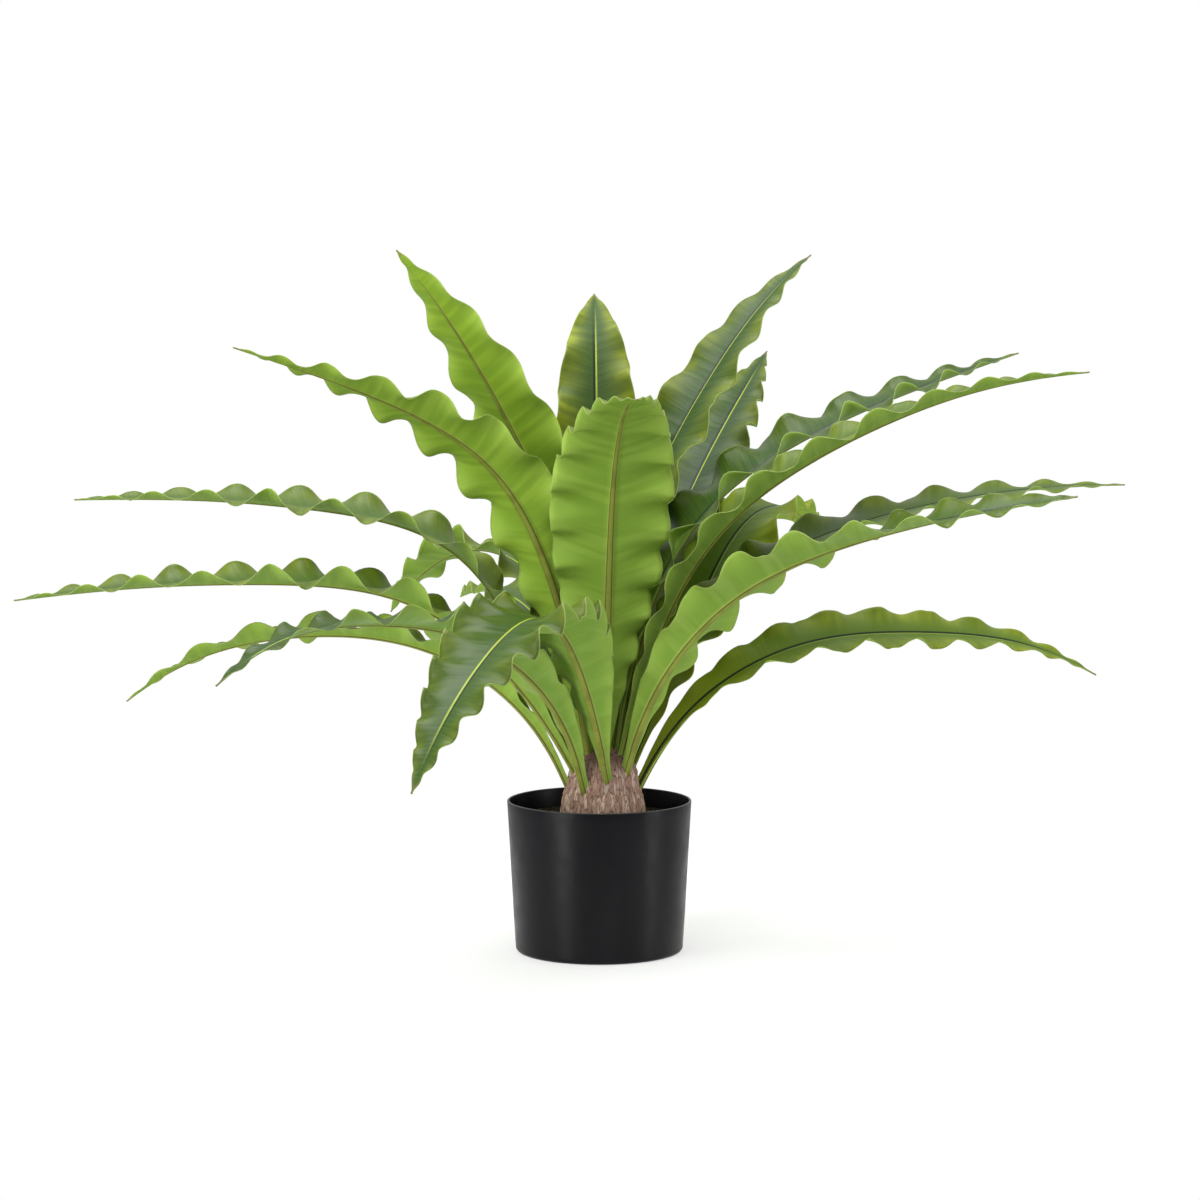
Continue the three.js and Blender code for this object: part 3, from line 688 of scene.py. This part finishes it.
for number, (name, frond) in enumerate(FRONDS.items(), 1):
    # The rib's path in millimetres, from the foot sunk in the stump to the tip.
    count = frond["waves"] * STATIONS_PER_WAVE
    part = np.arange(count + 1) / count
    shares = pace(part)
    ahead, side, face = directions(frond, shares)
    middle_ahead, _, _ = directions(frond, (shares[1:] + shares[:-1]) / 2)
    angle, radius, height = frond["root"]
    angle = math.radians(angle)
    root = np.array([STUMP_X / MILLIMETRE + radius * math.cos(angle), radius * math.sin(angle), height])
    steps = middle_ahead * (np.diff(shares) * frond["length"])[:, None]
    rib = root + np.vstack([np.zeros(3), np.cumsum(steps, 0)])
    sunk = rib[0] - ahead[0] * FOOT_DEPTH
    rib = np.vstack([sunk, rib])
    ahead, side, face = (np.vstack([rows[:1], rows]) for rows in (ahead, side, face))
    shares = np.concatenate([shares[:1], shares])
    turns = np.concatenate([[0], part * frond["waves"]])

    # The sheet in the middle of the blade, column by column from one margin to the other.
    width = half_width(frond, shares)
    rib_width = np.minimum(along_values(RIB_HALF_WIDTH, shares), width * RIB_MOST)
    rib_reach = rib_width / width
    half = [rib_reach * column for column in RIB_COLUMNS]
    half += [rib_reach + (1 - rib_reach) * (k / BLADE_COLUMNS) for k in range(1, BLADE_COLUMNS + 1)]
    sheet = []
    reaches = []
    signs = []
    for sign in (-1, 1):
        wave = ruffle(frond, number, sign, turns, shares)
        lift = along_values(frond["lift"], shares)
        for reach in (half[:0:-1] if sign < 0 else half):
            straight = 0
            up = 0
            for step in range(MARGIN_STEPS):
                place = reach * (step + 0.5) / MARGIN_STEPS
                lean = np.radians(lift + wave * place ** CURL_CURVE)
                straight = straight + width * reach / MARGIN_STEPS * np.cos(lean)
                up = up + width * reach / MARGIN_STEPS * np.sin(lean)
            sheet.append(rib + side * (sign * straight)[:, None] + face * up[:, None])
            reaches.append(reach)
            signs.append(sign)
    sheet = np.stack(sheet, 1)
    reaches = np.stack(reaches, 1)

    # The upper and the lower face, and the mesh between them.
    normal = np.cross(np.gradient(sheet, axis=1), np.gradient(sheet, axis=0))
    normal /= np.linalg.norm(normal, axis=2, keepdims=True)
    from_rib = reaches * width[:, None] / rib_width[:, None]
    thinning = (BLADE_HALF_THICKNESS - MARGIN_HALF_THICKNESS) * easing(0.1, 1, reaches)
    thickness = BLADE_HALF_THICKNESS - thinning
    keel = along_values(RIB_DEPTH, shares)[:, None] * np.sqrt(np.clip(1 - from_rib ** 2, 0, 1))
    groove = GROOVE_DEPTH * np.exp(-(from_rib / GROOVE_WIDTH) ** 2) * easing(1, 0.8, shares)[:, None]
    top = sheet + normal * (thickness - groove)[..., None]
    bottom = sheet - normal * (thickness + keel)[..., None]
    stations, columns, _ = sheet.shape
    points = np.concatenate([top.reshape(-1, 3), bottom.reshape(-1, 3)]) * MILLIMETRE
    index = np.arange(stations * columns).reshape(stations, columns)
    below = index + stations * columns
    faces = np.concatenate([
        np.stack([index[:-1, :-1], index[:-1, 1:], index[1:, 1:], index[1:, :-1]], -1).reshape(-1, 4),
        np.stack([below[:-1, :-1], below[1:, :-1], below[1:, 1:], below[:-1, 1:]], -1).reshape(-1, 4),
        np.stack([index[:-1, 0], index[1:, 0], below[1:, 0], below[:-1, 0]], -1),
        np.stack([index[:-1, -1], below[:-1, -1], below[1:, -1], index[1:, -1]], -1),
        np.stack([index[0, :-1], below[0, :-1], below[0, 1:], index[0, 1:]], -1),
        np.stack([index[-1, :-1], index[-1, 1:], below[-1, 1:], below[-1, :-1]], -1)])
    blade = piece(name + "_blade", points, faces, frond_skin)
    carried = {"along": (shares * frond["length"])[:, None],
               "across": reaches * width[:, None] * np.array(signs),
               "out": reaches,
               "ribs": from_rib,
               "under": np.array([0, 1])[:, None, None],
               "share": shares[:, None],
               "fresh": frond["fresh"],
               "mottle": frond["mottle"]}
    for key, values in carried.items():
        carry(blade, key, np.broadcast_to(values, (2, stations, columns)))
    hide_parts(name)
    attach(blade, "root")

# Setting
# A plain pale floor that fades out into a white surround, with soft lights above, in front and to both
# sides. The camera looks slightly down from the front.
FLOOR_RADIUS = 2.2
FLOOR_SIDES = 64
FLOOR_HEIGHT = -0.0004
FLOOR_WHITE = (0.92, 0.92, 0.92, 1)
PURE_WHITE = (1, 1, 1, 1)
CAMERA_PLACE = (0.0006, -3.330, 0.635)
CAMERA_PITCH = 5.8
CAMERA_LENS = 120
CAMERA_SENSOR = 36

floor_white, tree, shader = finish("pale floor", Roughness=0.9, Specular_IOR_Level=0.1,
                                   Emission_Strength=0.3)
shader.inputs["Base Color"].default_value = FLOOR_WHITE
shader.inputs["Emission Color"].default_value = PURE_WHITE
place = add(tree, "ShaderNodeTexCoord").outputs["Object"]
distance = add(tree, "ShaderNodeVectorMath", {0: place}, operation="LENGTH").outputs["Value"]
tree.links.new(ranged(tree, distance, 0.12, 0.8, 0.6, 0), shader.inputs["Alpha"])
turns = np.arange(FLOOR_SIDES) * 2 * math.pi / FLOOR_SIDES
ring = [(FLOOR_RADIUS * math.cos(t), FLOOR_RADIUS * math.sin(t), FLOOR_HEIGHT) for t in turns]
floor = piece("floor", ring, [range(FLOOR_SIDES)], floor_white)

world = bpy.data.worlds.new("white surround")
bpy.context.scene.world = world
world.use_nodes = True
tree = world.node_tree
seen = add(tree, "ShaderNodeLightPath").outputs["Is Camera Ray"]
direction = add(tree, "ShaderNodeTexCoord").outputs["Generated"]
sky = add(tree, "ShaderNodeSeparateXYZ", {0: direction}).outputs
from_behind = ranged(tree, sky["Y"], -0.7, 0.6, 0.2, 0.55)
shade = calc(tree, "ADD", from_behind, ranged(tree, sky["Z"], -0.2, 0.9, 0, 0.2))
background = tree.nodes["Background"]
background.inputs["Color"].default_value = PURE_WHITE
tree.links.new(calc(tree, "MAXIMUM", seen, shade), background.inputs["Strength"])


def softbox(name, place, target, width, height, power):
    """A soft rectangular light that faces a target."""
    light = bpy.data.lights.new(name, "AREA")
    light.shape = "RECTANGLE"
    light.size = width
    light.size_y = height
    light.energy = power
    made = bpy.data.objects.new(name, light)
    made.location = place
    made.rotation_euler = (Vector(target) - Vector(place)).to_track_quat("-Z", "Y").to_euler()
    bpy.context.scene.collection.objects.link(made)


softbox("overhead light", (-0.3, 0.1, 2.3), (0, 0, 0.3), 2.0, 1.6, 50)
softbox("left light", (-2.0, -1.9, 0.5), (0, 0, 0.25), 0.9, 2.8, 44)
softbox("right light", (2.4, -0.8, 0.4), (0, 0, 0.25), 0.7, 2.8, 20)
softbox("front light", (-0.4, -3.2, 2.4), (0, 0, 0.3), 3.2, 1.8, 42)

camera = bpy.data.objects.new("camera", bpy.data.cameras.new("camera"))
camera.data.lens = CAMERA_LENS
camera.data.sensor_width = CAMERA_SENSOR
camera.location = CAMERA_PLACE
camera.rotation_euler = (math.radians(90 - CAMERA_PITCH), 0, 0)
bpy.context.scene.collection.objects.link(camera)
bpy.context.scene.camera = camera
bpy.context.scene.view_settings.view_transform = "Standard"
